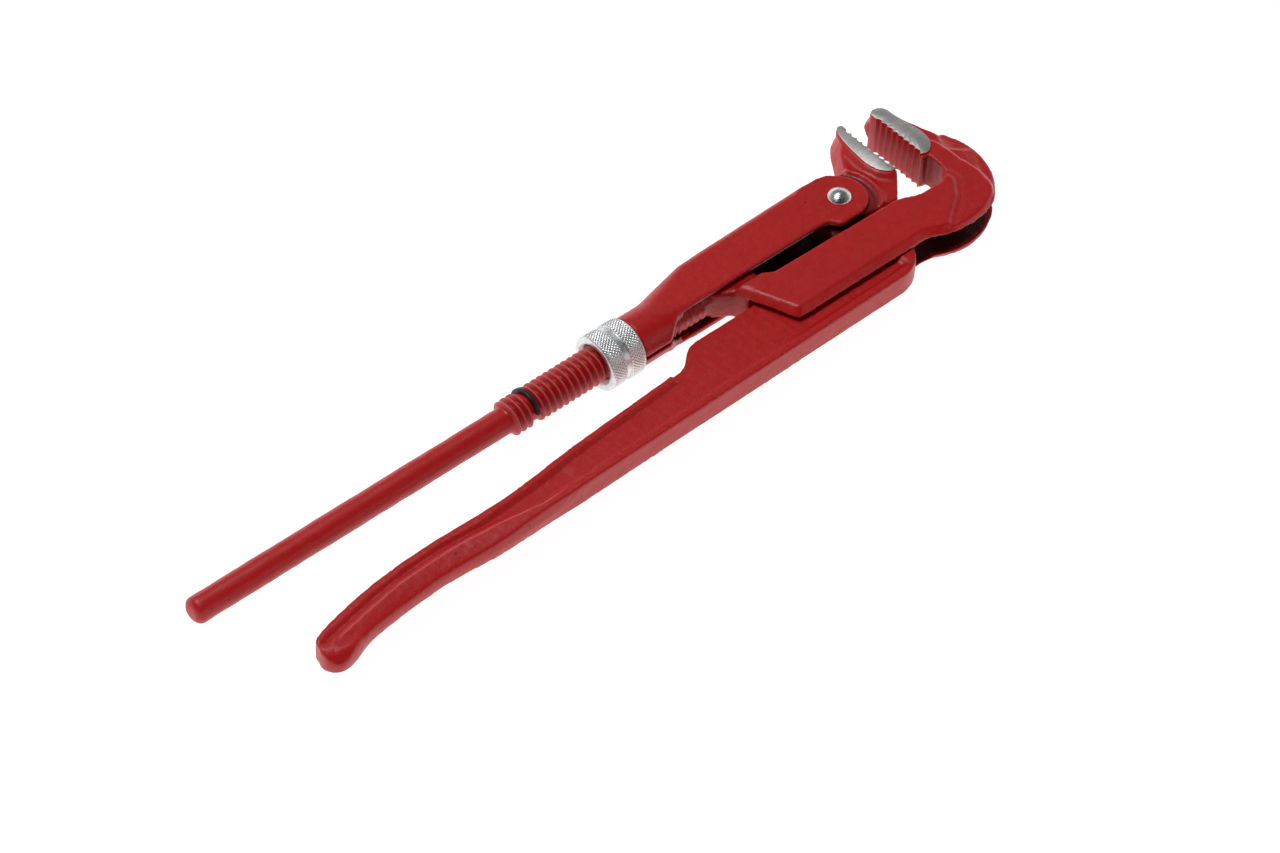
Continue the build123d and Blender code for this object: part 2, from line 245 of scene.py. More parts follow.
def around(x, radius, angles):
    """Points round the rod's axis at x; angle 0 points along +Y and grows towards +Z."""
    return np.stack(
        [np.broadcast_to(x, angles.shape), radius * np.cos(angles), radius * np.sin(angles)], 1
    )


def prism(outline, low, high, bevel):
    """A plate with this outline between two heights, its rims softened by a small bevel."""
    edit = bmesh.new()
    ring = [edit.verts.new(Vector(np.array((x, y, low)) * MM + ORIGIN)) for x, y in outline]
    base = edit.faces.new(ring)
    grown = bmesh.ops.extrude_face_region(edit, geom=[base])
    lift = Vector((0, 0, (high - low) * MM))
    bmesh.ops.translate(edit, verts=[v for v in grown["geom"] if isinstance(v, bmesh.types.BMVert)], vec=lift)
    bmesh.ops.recalc_face_normals(edit, faces=edit.faces)
    rims = [e for e in edit.edges if abs(e.verts[0].co.z - e.verts[1].co.z) < 1e-7]
    bmesh.ops.bevel(edit, geom=rims, offset=bevel * MM, segments=2, affect="EDGES", profile=0.5)
    mesh = bpy.data.meshes.new("prism")
    edit.to_mesh(mesh)
    edit.free()
    mesh.shade_smooth()
    mesh.set_sharp_from_angle(angle=math.radians(50))
    return mesh


# ---------------------------------------------------------------- camera, light and floor
AIM = Vector(ORIGIN) + Vector((-3.53, -18.995, -15.0)) * MM
DISTANCE = 1.577
TENT_STRENGTH = 1.25
AZIMUTH, ELEVATION, ROLL = (math.radians(a) for a in (-43.84, 47.16, 3.0))
level_right = Vector((math.cos(AZIMUTH), math.sin(AZIMUTH), 0))
back = Vector(
    (
        math.sin(AZIMUTH) * math.cos(ELEVATION),
        -math.cos(AZIMUTH) * math.cos(ELEVATION),
        math.sin(ELEVATION),
    )
)
level_up = back.cross(level_right)
right = level_right * math.cos(ROLL) + level_up * math.sin(ROLL)
up = level_up * math.cos(ROLL) - level_right * math.sin(ROLL)
camera_data = bpy.data.cameras.new("camera")
camera_data.sensor_width = 36
camera_data.lens = 140.625
camera_data.clip_start = 0.05
camera_data.clip_end = 20
camera = bpy.data.objects.new("camera", camera_data)
bpy.context.scene.collection.objects.link(camera)
facing = Matrix((right, up, back)).transposed().to_4x4()
camera.matrix_world = Matrix.Translation(AIM + back * DISTANCE) @ facing
bpy.context.scene.camera = camera
bpy.context.scene.view_settings.view_transform = "Standard"
bpy.context.scene.view_settings.look = "None"


def node_tree(owner):
    owner.use_nodes = True
    owner.node_tree.nodes.clear()
    return owner.node_tree


def add_node(tree, kind, inputs=None, **settings):
    node = tree.nodes.new(kind)
    for key, value in settings.items():
        setattr(node, key, value)
    for key, value in (inputs or {}).items():
        node.inputs[key].default_value = value
    return node


# A white tent: bright low down, dimmer overhead, dark on the camera's own side.
world = bpy.data.worlds.new("tent")
bpy.context.scene.world = world
tree = node_tree(world)
where = add_node(tree, "ShaderNodeTexCoord")
strength = None
DIMMED = (  # direction, cosines where the dimming starts and ends, what is left there
    ((0, 0, 1), 0.05, 0.55, 0.09),
    ((-0.47, -0.49, 0.733), 0.30, 0.92, 0.10),
)
for direction, first, last, end in DIMMED:
    toward = add_node(tree, "ShaderNodeVectorMath", operation="DOT_PRODUCT")
    toward.inputs[1].default_value = direction
    span = {1: first, 2: last, 3: 1.0, 4: end}
    shade = add_node(tree, "ShaderNodeMapRange", span, interpolation_type="SMOOTHSTEP")
    tree.links.new(where.outputs["Generated"], toward.inputs[0])
    tree.links.new(toward.outputs["Value"], shade.inputs[0])
    if strength is None:
        strength = shade.outputs[0]
    else:
        both = add_node(tree, "ShaderNodeMath", operation="MULTIPLY")
        tree.links.new(strength, both.inputs[0])
        tree.links.new(shade.outputs[0], both.inputs[1])
        strength = both.outputs[0]
level = add_node(tree, "ShaderNodeMath", {1: TENT_STRENGTH}, operation="MULTIPLY")
sky = add_node(tree, "ShaderNodeBackground")
sky.inputs["Color"].default_value = (1, 1, 1, 1)
out = add_node(tree, "ShaderNodeOutputWorld")
tree.links.new(strength, level.inputs[0])
tree.links.new(level.outputs[0], sky.inputs["Strength"])
tree.links.new(sky.outputs[0], out.inputs["Surface"])


def softbox(name, place, target, size, power):
    data = bpy.data.lights.new(name, "AREA")
    data.shape = "RECTANGLE"
    data.size, data.size_y = size
    data.energy = power
    lamp = bpy.data.objects.new(name, data)
    bpy.context.scene.collection.objects.link(lamp)
    lamp.location = place
    lamp.rotation_mode = "QUATERNION"
    lamp.rotation_quaternion = (Vector(target) - Vector(place)).to_track_quat("-Z", "Y")


softbox("top_softbox", (-0.15, 0.35, 1.3), (0, 0, 0), (0.7, 0.5), 11.0)

FLOOR_R = 2.5
floor_mesh = bpy.data.meshes.new("floor")
turn = np.linspace(0, 2 * math.pi, 96, endpoint=False)
floor_rim = [(FLOOR_R * math.cos(a), FLOOR_R * math.sin(a), -0.0001) for a in turn]
floor_mesh.from_pydata(floor_rim, [], [tuple(range(len(floor_rim)))])
floor = bpy.data.objects.new("floor", floor_mesh)
bpy.context.scene.collection.objects.link(floor)
floor_material = bpy.data.materials.new("pale_floor")
tree = node_tree(floor_material)
surface = add_node(
    tree,
    "ShaderNodeBsdfPrincipled",
    {
        "Base Color": (0.30, 0.30, 0.30, 1),
        "Roughness": 0.9,
        "Emission Color": (1, 1, 1, 1),
        "Emission Strength": 0.96,
        "Specular IOR Level": 0.0,
    },
)
out = add_node(tree, "ShaderNodeOutputMaterial")
tree.links.new(surface.outputs[0], out.inputs["Surface"])
floor_mesh.materials.append(floor_material)


# ---------------------------------------------------------------- materials
def start_material(name, inputs):
    material = bpy.data.materials.new(name)
    tree = node_tree(material)
    surface = add_node(tree, "ShaderNodeBsdfPrincipled", inputs)
    out = add_node(tree, "ShaderNodeOutputMaterial")
    tree.links.new(surface.outputs[0], out.inputs["Surface"])
    place = add_node(tree, "ShaderNodeTexCoord")
    return material, tree, surface, place.outputs["Object"]


def noise(tree, place, scale, detail=3.0, roughness=0.5, stretch=None, turned=(0, 0, 0)):
    """Noise over the piece's own coordinates; scale is in features per metre."""
    if stretch:
        mapping = add_node(tree, "ShaderNodeMapping", {"Scale": stretch, "Rotation": turned})
        tree.links.new(place, mapping.inputs["Vector"])
        place = mapping.outputs[0]
    texture = add_node(tree, "ShaderNodeTexNoise", {"Scale": scale, "Detail": detail, "Roughness": roughness})
    tree.links.new(place, texture.inputs["Vector"])
    return texture.outputs["Fac"]


def ramp(tree, value, low, high, to_low=0.0, to_high=1.0):
    change = add_node(tree, "ShaderNodeMapRange", {1: low, 2: high, 3: to_low, 4: to_high})
    tree.links.new(value, change.inputs[0])
    return change.outputs[0]


def colour_mix(tree, factor, first, second):
    """Mixes two colours, either of them a socket or a plain colour."""
    blend = add_node(tree, "ShaderNodeMix", data_type="RGBA")
    tree.links.new(factor, blend.inputs["Factor"])
    for key, colour in ((6, first), (7, second)):
        if isinstance(colour, tuple):
            blend.inputs[key].default_value = (*colour, 1)
        else:
            tree.links.new(colour, blend.inputs[key])
    return blend.outputs[2]


def bump(tree, height, depth_mm, previous=None):
    node = add_node(tree, "ShaderNodeBump", {"Strength": 1.0, "Distance": depth_mm * MM})
    tree.links.new(height, node.inputs["Height"])
    if previous is not None:
        tree.links.new(previous, node.inputs["Normal"])
    return node.outputs[0]


PAINT_POOLED, PAINT_EVEN, PAINT_LIT = (0.43, 0.0045, 0.0050), (0.49, 0.0065, 0.0070), (0.52, 0.0085, 0.0090)
# The first two colours are painted highlights for edges; the third is painted shade for hollows.
EDGE_HIGHLIGHT, EDGE_GLINT, HOLLOW_SHADE = (0.62, 0.055, 0.058), (0.80, 0.26, 0.26), (0.12, 0.0012, 0.0016)
# Dark paint specks, then the near-black red of painted shade deep inside the slots.
SPECK, SLOT_SHADE = (0.10, 0.004, 0.005), (0.045, 0.0006, 0.0008)


def red_paint(name):
    """Satin red enamel over a forged skin: orange peel, faint pooling and a few specks, with painted
    highlights on edges and painted shade in hollows and slots.
    """
    material, tree, surface, place = start_material(name, {"IOR": 1.5, "Specular IOR Level": 0.42})
    pooling = ramp(tree, noise(tree, place, 90, 3), 0.3, 0.7)
    colour = colour_mix(tree, pooling, PAINT_POOLED, PAINT_EVEN)
    grain = ramp(tree, noise(tree, place, 1700, 2, 0.6), 0.36, 0.64)
    colour = colour_mix(tree, grain, colour, PAINT_LIT)
    # Painted highlight: lighter on edges and lighter still on the sharpest ones. Painted shade: darker in
    # hollows.
    edge = add_node(tree, "ShaderNodeAttribute", attribute_name="edge").outputs["Fac"]
    colour = colour_mix(tree, ramp(tree, edge, 0.05, 0.22, 0.0, 0.6), colour, EDGE_HIGHLIGHT)
    colour = colour_mix(tree, ramp(tree, edge, 0.24, 0.50, 0.0, 0.8), colour, EDGE_GLINT)
    colour = colour_mix(tree, ramp(tree, edge, -0.03, -0.16, 0.0, 0.85), colour, HOLLOW_SHADE)
    cells = add_node(tree, "ShaderNodeTexVoronoi", {"Scale": 150.0, "Randomness": 1.0})
    tree.links.new(place, cells.inputs["Vector"])
    speck = ramp(tree, cells.outputs["Distance"], 0.075, 0.04)
    rare = ramp(tree, noise(tree, place, 75, 0), 0.60, 0.62)
    both = add_node(tree, "ShaderNodeMath", operation="MULTIPLY")
    tree.links.new(speck, both.inputs[0])
    tree.links.new(rare, both.inputs[1])
    colour = colour_mix(tree, both.outputs[0], colour, SPECK)
    # Painted shade: deep inside the slots and the other shaded places the enamel goes to a near-black red.
    painted_shade = add_node(tree, "ShaderNodeAttribute", attribute_name="painted_shade").outputs["Fac"]
    colour = colour_mix(tree, painted_shade, colour, SLOT_SHADE)
    tree.links.new(colour, surface.inputs["Base Color"])
    rough = ramp(tree, noise(tree, place, 420, 4), 0.3, 0.7, 0.34, 0.44)
    tree.links.new(rough, surface.inputs["Roughness"])
    peel = bump(tree, noise(tree, place, 1700, 2, 0.6), 0.08)
    peel = bump(tree, noise(tree, place, 420, 2), 0.07, peel)
    tree.links.new(peel, surface.inputs["Normal"])
    return material


def ground_steel(name, angle):
    """Bare steel ground flat on a belt: long fine scratches across the jaw."""
    material, tree, surface, place = start_material(name, {"Metallic": 1.0})
    turned = (0, 0, math.radians(angle))
    lines = noise(tree, place, 1.0, 4, 0.6, (260, 5200, 260), turned)
    fine = noise(tree, place, 1.0, 3, 0.6, (900, 11000, 900), turned)
    cloud = noise(tree, place, 190, 2)
    colour = colour_mix(tree, ramp(tree, lines, 0.3, 0.7), (0.50, 0.485, 0.47), (0.80, 0.785, 0.77))
    colour = colour_mix(tree, ramp(tree, cloud, 0.35, 0.7, 0.0, 0.35), colour, (0.44, 0.42, 0.41))
    tree.links.new(colour, surface.inputs["Base Color"])
    tree.links.new(ramp(tree, fine, 0.25, 0.75, 0.34, 0.52), surface.inputs["Roughness"])
    scratch = bump(tree, lines, 0.03)
    scratch = bump(tree, fine, 0.02, scratch)
    tree.links.new(scratch, surface.inputs["Normal"])
    return material


def zinc_plate(name):
    material, tree, surface, place = start_material(name, {"Metallic": 1.0})
    cloud = ramp(tree, noise(tree, place, 500, 4), 0.3, 0.7)
    colour = colour_mix(tree, cloud, (0.66, 0.67, 0.68), (0.83, 0.84, 0.85))
    # Painted shade: where the surface is hollow, in the knurl's valleys and the bore, the zinc is darkened.
    edge = add_node(tree, "ShaderNodeNewGeometry").outputs["Pointiness"]
    colour = colour_mix(tree, ramp(tree, edge, 0.49, 0.40, 0.0, 0.6), colour, (0.30, 0.305, 0.31))
    tree.links.new(colour, surface.inputs["Base Color"])
    tree.links.new(ramp(tree, noise(tree, place, 900, 3), 0.3, 0.7, 0.36, 0.50), surface.inputs["Roughness"])
    tree.links.new(bump(tree, noise(tree, place, 2600, 2), 0.02), surface.inputs["Normal"])
    return material


def polished_steel(name):
    material, tree, surface, place = start_material(name, {"Metallic": 1.0})
    cloud = ramp(tree, noise(tree, place, 420, 3), 0.35, 0.65)
    colour = colour_mix(tree, cloud, (0.62, 0.63, 0.63), (0.84, 0.845, 0.84))
    tree.links.new(colour, surface.inputs["Base Color"])
    tree.links.new(ramp(tree, noise(tree, place, 1200, 3), 0.3, 0.7, 0.22, 0.36), surface.inputs["Roughness"])
    tree.links.new(bump(tree, noise(tree, place, 700, 2), 0.10), surface.inputs["Normal"])
    return material


def black_steel(name):
    material, tree, surface, place = start_material(name, {"Metallic": 0.35})
    cloud = ramp(tree, noise(tree, place, 600, 4), 0.3, 0.7)
    colour = colour_mix(tree, cloud, (0.008, 0.008, 0.009), (0.035, 0.033, 0.032))
    tree.links.new(colour, surface.inputs["Base Color"])
    tree.links.new(ramp(tree, noise(tree, place, 1500, 3), 0.3, 0.7, 0.30, 0.48), surface.inputs["Roughness"])
    tree.links.new(bump(tree, noise(tree, place, 1800, 2), 0.03), surface.inputs["Normal"])
    return material


paint = red_paint("red_paint")
hook_steel = ground_steel("ground_steel_hook", 62)
lever_steel = ground_steel("ground_steel_lever", 48)

# ---------------------------------------------------------------- outlines shared by pieces
TOOTH_PITCH = 2.6
GROOVE_R = 1.45


def toothed_edge(face_x, first_y, into, low_y, high_y):
    """The jaw face's edge from low_y up to high_y: eight round grooves with narrow crests."""
    edge = []
    for tooth in range(8):
        centre = first_y + tooth * TOOTH_PITCH
        for step in range(0 if tooth == 0 else 1, 13):
            angle = math.radians(mix(-63.7, 63.7, step / 12))
            edge.append(
                (
                    face_x - into * 0.35 + into * GROOVE_R * math.cos(angle),
                    centre + GROOVE_R * math.sin(angle),
                )
            )
    return [(edge[0][0], low_y)] + edge + [(edge[-1][0], high_y)]


def rounded(corners, passes=2):
    """Corner cutting on an open run of points, its ends kept."""
    points = [np.array(c, float) for c in corners]
    for _ in range(passes):
        cut = [points[0]]
        for a, b in zip(points, points[1:]):
            cut += [a * 0.75 + b * 0.25, a * 0.25 + b * 0.75]
        points = cut + [points[-1]]
    return [tuple(p) for p in points]


HOOK_BACK = [
    (133.4, 22.2), (135.2, 23.2), (137.6, 22.6), (139.1, 20.6), (139.1, 17.6), (139.6, 14.0),
    (140.3, 10.0), (140.9, 6.0), (140.5, 1.6), (139.0, -0.9), (137.0, -2.5), (135.2, -3.0), (133.9, -2.4),
]
HOOK_PAD = rounded(HOOK_BACK) + toothed_edge(133.0, -0.4, 1, -2.1, 21.4)
LEVER_BACK = [
    (122.0, -1.9), (120.7, -2.0), (118.8, -0.7), (117.0, 2.0), (116.2, 6.0), (116.6, 10.5),
    (117.1, 15.0), (118.0, 20.0), (119.2, 23.4), (121.0, 24.8), (122.4, 23.9),
]
LEVER_PAD = rounded(LEVER_BACK) + toothed_edge(122.6, 2.4, -1, -1.0, 23.0)[::-1]

# ---------------------------------------------------------------- hook leg
PLATEAU = [
    (30.0, 12.0), (130.6, -7.0), (132.9, -13.2), (133.9, -14.6), (133.9, -16.6), (132.7, -18.9),
    (128.4, -23.7), (120.4, -29.1), (114.0, -36.0), (30.0, -36.0),
]
ELBOW_X, ELBOW_Y = 126.0, -11.0
CREST_ANGLES = (-125, -115, -107, -98, -87, -74, -51, -43, -33, -16, 0, 15, 37)
CREST_REACH = (22.0, 21.8, 22.7, 22.6, 22.5, 22.7, 22.9, 22.2, 20.4, 17.4, 16.3, 16.7, 18.8)
RIM_ANGLES = (-125, -113, -103, -93, -82, -74, -63, -57, -45, -30, -15, 6, 24, 41, 54)
RIM_REACH = (24.3, 24.1, 23.5, 23.3, 23.4, 23.5, 24.0, 24.0, 23.5, 23.3, 23.4, 23.8, 24.2, 25.7, 28.2)
LOW_CHEEK_STEP = 1.3
HALF_THICK, SLOT_HIGH = 7.7, 4.7  # of the CAD's forging, and of the slot through it
BACK_X, BACK_Y, BACK_R = 126.0, -9.73, 25.1  # the CAD's round back
ELBOW_TOP, LIP_RISE, VALLEY_DEPTH = 6.95, 0.75, 0.35
CREST_TOP, RIM_DROP, CHEEK_CORE = 7.0, 1.3, 17.5
RIM_TOP = CREST_TOP - RIM_DROP
UNCUT = 9.0  # higher than any surface
TEETH_LOW, TEETH_HIGH = -1.9, 21.8
FACE_SET_BACK, TIP_SET_BACK = 134.7, 133.3


def back_reach(angle):
    """How far the CAD's round back stands from the elbow's centre, by angle in degrees."""
    turn = np.radians(angle)
    along = (BACK_X - ELBOW_X) * np.cos(turn) + (BACK_Y - ELBOW_Y) * np.sin(turn)
    return along + np.sqrt(along**2 - (BACK_X - ELBOW_X) ** 2 - (BACK_Y - ELBOW_Y) ** 2 + BACK_R**2)


def cheek_rim(low, high):
    """One cheek's rim at full height, where the CAD's bevel leaves it thinner than a voxel."""
    turns = np.arange(-70, 36, 2.0)
    spots = [(turn, back_reach(turn)) for turn in turns] + [(turn, CHEEK_CORE) for turn in turns[::-1]]
    outline = [
        (ELBOW_X + reach * math.cos(math.radians(turn)), ELBOW_Y + reach * math.sin(math.radians(turn)))
        for turn, reach in spots
    ]
    mesh = prism(outline, low, high, 0.05)
    x, y, z = read_points(mesh).T
    turn = np.degrees(np.arctan2(y - ELBOW_Y, x - ELBOW_X))
    ends = np.maximum(ease((turn - 16) / 16), ease((-58 - turn) / 10))
    tall = np.where(np.abs(z) > 6, mix(HALF_THICK, 5.0, ends), np.abs(z))
    write_points(mesh, np.stack([x, y, np.sign(z) * tall], 1))
    return mesh


def shape_hook(p):
    x, y, z = p.T.copy()
    reach = np.hypot(x - ELBOW_X, y - ELBOW_Y)
    angle = np.degrees(np.arctan2(y - ELBOW_Y, x - ELBOW_X))
    crest = np.interp(angle, CREST_ANGLES, CREST_REACH)
    elbow = ease((x - 112) / 6) * ease((5 - y) / 5)
    # Shank at full height with a soft lip, elbow a step lower behind a shallow valley.
    step = signed_distance(x, y, PLATEAU)
    valley = VALLEY_DEPTH * np.exp(-(((step + 1.5) / 1.1) ** 2)) * elbow
    top = ELBOW_TOP + LIP_RISE * ease(step / 1.2 + 0.5) - valley
    # Outside its crest line the elbow falls away to its rim, the lower cheek's a little smaller.
    rim = np.interp(angle, RIM_ANGLES, RIM_REACH) - LOW_CHEEK_STEP * (z < 0) * ease((-42 - angle) / 20)
    wall = back_reach(angle)
    share = np.maximum(reach - crest, 0) / (wall - crest)
    fall = mix(UNCUT, CREST_TOP - RIM_DROP * share, elbow * (share > 0))
    fall = np.minimum(fall, HALF_THICK)
    high = np.abs(z)
    scale = (fall - SLOT_HIGH) / (HALF_THICK - SLOT_HIGH)
    z = np.sign(z) * np.where(high > SLOT_HIGH, SLOT_HIGH + (high - SLOT_HIGH) * scale, high)
    # Its outer wall is drafted.
    limit = rim + np.maximum(wall - rim, 0) * (1 - np.minimum((z / RIM_TOP) ** 2, 1))
    held = np.where(share > 0, crest + share * (limit - crest), reach) / reach
    pull = mix(1, held, ease((angle + 128) / 4) * ease((40 - angle) / 12) * ease((x - 111) / 3))
    x, y, reach = ELBOW_X + (x - ELBOW_X) * pull, ELBOW_Y + (y - ELBOW_Y) * pull, reach * pull
    top = np.minimum(top, fall)
    # The web beside the rod's end is cut away below.
    under = np.interp(x, (30, 38, 40, 42, 45, 47), (-5.1, -4.9, -5.6, -7.0, -8.8, -13.5))
    y = np.where((x > 30) & (x < 47), np.maximum(y, under), y)
    # The jaw's face is set back here: its teeth are a piece of their own.
    in_teeth = (y > TEETH_LOW) & (y < TEETH_HIGH) & (x > 128)
    x = np.where(in_teeth, np.maximum(x, FACE_SET_BACK), x)
    x = np.where(y >= TEETH_HIGH, np.maximum(x, TIP_SET_BACK), x)
    z = np.sign(z) * np.minimum(np.abs(z), top)
    return np.stack([x, y, z], 1)


def soften_flare(p):
    x, y, z = p.T
    return ease((x - 31) / 4) * ease((60 - x) / 6) * ease((np.abs(y + 3) - 30) / -6 + 1) * (y > -13)


def hook_hidden(p):
    """Where painted shade darkens the enamel: the slot's inside, the web inside the sleeve and the throat's
    hollow under the teeth.
    """
    x, y, z = p.T
    reach = np.hypot(x - ELBOW_X, y - ELBOW_Y)
    angle = np.degrees(np.arctan2(y - ELBOW_Y, x - ELBOW_X))
    rim = np.interp(angle, RIM_ANGLES, RIM_REACH) - LOW_CHEEK_STEP * (z < 0)
    between = ease((5.0 - np.abs(z)) / 0.3)
    round_back = (angle < -38) * ease((rim - 0.4 - reach) / 1.2)
    along = (x < 127) * (x > 54) * ease((y + 30.2) / 1.5) * ease((-8.6 - y) / 0.6)
    slot = between * np.maximum(round_back * (x > 111), along)
    web = 0.25 * ease((59 - x) / 5) * ease((y + 10.5) / 2) * ease((8.2 - np.abs(z)) / 0.3)
    throat = 0.35 * ease((138 - x) / 1.5) * ease((x - 130) / 2) * ease((-2.1 - y) / 0.4)
    throat *= ease((y + 10.5) / 2.5) * ease((6.7 - np.abs(z)) / 0.4)
    return np.clip(np.maximum(np.maximum(slot * 0.97, web), throat), 0, 1)


def hook_crest_highlight(p):
    """A painted highlight: the fine bright line along the crest of the elbow's bevel."""
    x, y, z = p.T
    reach = np.hypot(x - ELBOW_X, y - ELBOW_Y)
    angle = np.degrees(np.arctan2(y - ELBOW_Y, x - ELBOW_X))
    crest = np.interp(angle, CREST_ANGLES, CREST_REACH)
    line = 0.5 * np.exp(-(((reach - crest) / 0.36) ** 2)) * (z > 5)
    return line * ease((angle + 60) / 10) * ease((44 - angle) / 6)


rims = [cheek_rim(SLOT_HIGH, HALF_THICK), cheek_rim(-HALF_THICK, -SLOT_HIGH)]
hook = forging(
    "hook_forging", "hook_jaw", 0.4, 6, 0.03, 5, shape_hook, soften_flare, hook_hidden, hook_crest_highlight, rims
)
finish_piece(hook, "hook_forging", paint, "hook_leg", ["hook_jaw"])
finish_piece(prism(HOOK_PAD, -7.66, 7.66, 0.08), "hook_teeth", paint, "hook_leg")


def inset(outline, amount):
    """The outline drawn in by an amount, for a bare face a little inside its painted rim."""
    points = np.array(outline)
    before, after = np.roll(points, 1, 0), np.roll(points, -1, 0)
    along = after - before
    along /= np.linalg.norm(along, axis=1)[:, None]
    area = np.sum(points[:, 0] * np.roll(points[:, 1], -1) - np.roll(points[:, 0], -1) * points[:, 1])
    inward = np.stack([-along[:, 1], along[:, 0]], 1) * (1 if area > 0 else -1)
    return [tuple(p) for p in points + inward * amount]


for side, low, high in (("upper", 7.3, 7.7), ("lower", -7.7, -7.3)):
    face = prism(inset(HOOK_PAD, 0.06), low, high, 0.03)
    finish_piece(face, "hook_ground_face_" + side, hook_steel, "hook_leg")
    face = prism(inset(LEVER_PAD, 0.06), low, high, 0.03)
    finish_piece(face, "lever_ground_face_" + side, lever_steel, "lever")

# Rod: round handle, rolled thread with its rounded, painted ridges, run-out into the boot.
THREAD_PITCH, THREAD_START = 2.5, -43.0
CORE_R, CREST_R, HANDLE_R, BOOT_R = 5.0, 6.3, 4.5, 5.45
ROD_END, BUTT_R, ROD_FRONT = -167.5, 2.6, 36.0
RING_X = -35.05


def thread_depth(x):
    """How much of the thread's full depth stands at x."""
    start = ease((x + 43.9) / 0.7) * ease((-36.0 - x) / 0.8)
    main = ease((x + 34.3) / 0.9) * (1 - 0.75 * ease((x - 16) / 16))
    return np.maximum(start, main)


def rod_radius(x, angles):
    phase = (x - THREAD_START) / THREAD_PITCH - (angles - math.pi / 2) / (2 * math.pi)
    ridge = (0.5 + 0.5 * np.cos(2 * math.pi * phase)) ** 1.5
    core = mix(HANDLE_R, CORE_R, float(ease((x + 44.6) / 1.6)))
    core = mix(core, BOOT_R, float(ease((x - 20) / 12)))
    radius = core + (CREST_R - CORE_R) * ridge * float(thread_depth(x))
    if x < ROD_END + BUTT_R:
        inward = ROD_END + BUTT_R - x
        radius = radius - BUTT_R + math.sqrt(max(BUTT_R**2 - inward**2, 0))
    return radius


angles = np.linspace(0, 2 * math.pi, 72, endpoint=False)
butt_x = ROD_END + BUTT_R - BUTT_R * np.sin(np.linspace(math.pi / 2, 0, 10))
stations = np.concatenate([butt_x, np.arange(-163.5, -47, 1.5), np.arange(-46.6, ROD_FRONT, 0.22)])
rows = [around(ROD_END, 0.02, angles), around(ROD_END, 1.0, angles)]
for x in stations:
    wobble = 0.035 * math.sin(x * 0.21) + 0.025 * math.sin(x * 0.53 + 1)
    rows.append(around(x, rod_radius(x, angles) + wobble * float(ease((-44 - x) / 6)), angles))
rows.append(around(ROD_FRONT, 0.02, angles))
rod = lattice(rows, False, True, (0, len(rows) - 1))
# Painted light: in the thread the edge value is doubled, giving stronger painted highlights on the crests and
# darker painted shade in the valleys.
mark_edges(rod, 0.35, 1.0 + 1.0 * ease((read_points(rod)[:, 0] + 45) / 2))
points = read_points(rod)
write_points(rod, points + read_normals(rod) * (waves(points, 8, 7, 1.8) * 0.03)[:, None])
finish_piece(rod, "rod_and_thread", paint, "hook_leg", ["threaded_rod"])

# Stop ring: square spring wire with soft corners, open on the side of the lever.
RING_LOW, RING_HIGH, RING_WIDTH, RING_CORNER = 5.15, 6.65, 1.38, 0.2
RING_FROM, RING_TO = 250.5, 524.5  # degrees round the rod
flat_x = RING_WIDTH / 2 - RING_CORNER
flat_r = (RING_HIGH - RING_LOW) / 2 - RING_CORNER
section = []
for turn_x, turn_r, first in ((1, 1, 0), (-1, 1, 90), (-1, -1, 180), (1, -1, 270)):
    for step in range(4):
        a = math.radians(first + step * 30)
        section.append(
            (
                turn_x * flat_x + RING_CORNER * math.cos(a),
                (RING_LOW + RING_HIGH) / 2 + turn_r * flat_r + RING_CORNER * math.sin(a),
            )
        )
section = np.array(section)
rows = []
for a in np.radians(np.linspace(RING_FROM, RING_TO, 140)):
    lean = 0.12 * math.sin(a - 0.6)
    out_x, out_r = section.T
    rows.append(np.stack([RING_X + lean + out_x, out_r * math.cos(a), out_r * math.sin(a)], 1))
ring = lattice(rows, False, True, (0, len(rows) - 1))
ring.set_sharp_from_angle(angle=math.radians(60))
ring_steel = black_steel("black_spring_steel")
finish_piece(ring, "stop_ring_wire", ring_steel, "hook_leg", ["stop_ring"])

# ---------------------------------------------------------------- adjusting nut
NUT_R, NUT_BACK, NUT_FRONT, NUT_CORNER = 9.7, -6.8, 7.4, 0.85
NUT_BORE_R, NUT_GROOVE = 5.55, 1.1
GROOVE_LOW, GROOVE_HIGH, GROOVE_DEPTH = -0.7, 1.6, 0.7
KNURLS = 52
KNURL_DEPTH = 0.32
nut_angles = np.linspace(0, 2 * math.pi, KNURLS * 9, endpoint=False)


def triangle(value):
    """A repeating ridge, 0 in its valley and 1 on its crest."""
    return 1 - np.abs(2 * (value - np.floor(value)) - 1)


def knurl(x, angles):
    """Pyramids between two families of crossing cuts."""
    lead = 2 * math.pi * NUT_R / KNURLS
    one = triangle(angles * KNURLS / (2 * math.pi) + x / (lead * 1.12))
    other = triangle(angles * KNURLS / (2 * math.pi) - x / (lead * 1.12))
    return np.minimum(np.minimum(one, other) * 1.35, 0.9)


rows = []
back_rim = [NUT_BACK, NUT_BACK + 0.25, NUT_BACK + 0.6]
front_rim = [NUT_FRONT - 0.6, NUT_FRONT - 0.25, NUT_FRONT]
for x in np.concatenate([back_rim, np.arange(NUT_BACK + 0.9, NUT_FRONT - 0.8, 0.19), front_rim]):
    rim = min(x - NUT_BACK, NUT_FRONT - x)
    full = NUT_R - NUT_CORNER * (1 - min(rim / NUT_CORNER, 1)) ** 1.4
    in_groove = float(ease((x - GROOVE_LOW + 0.2) / 0.35) * ease((GROOVE_HIGH + 0.2 - x) / 0.35))
    knurled = float(ease((rim - 0.55) / 0.5)) * (1 - in_groove)
    radius = full - in_groove * GROOVE_DEPTH - KNURL_DEPTH * (1 - knurl(x, nut_angles)) * knurled
    rows.append(around(x, radius, nut_angles))
for radius in (8.6, 7.8):
    rows.append(around(NUT_FRONT, radius, nut_angles))
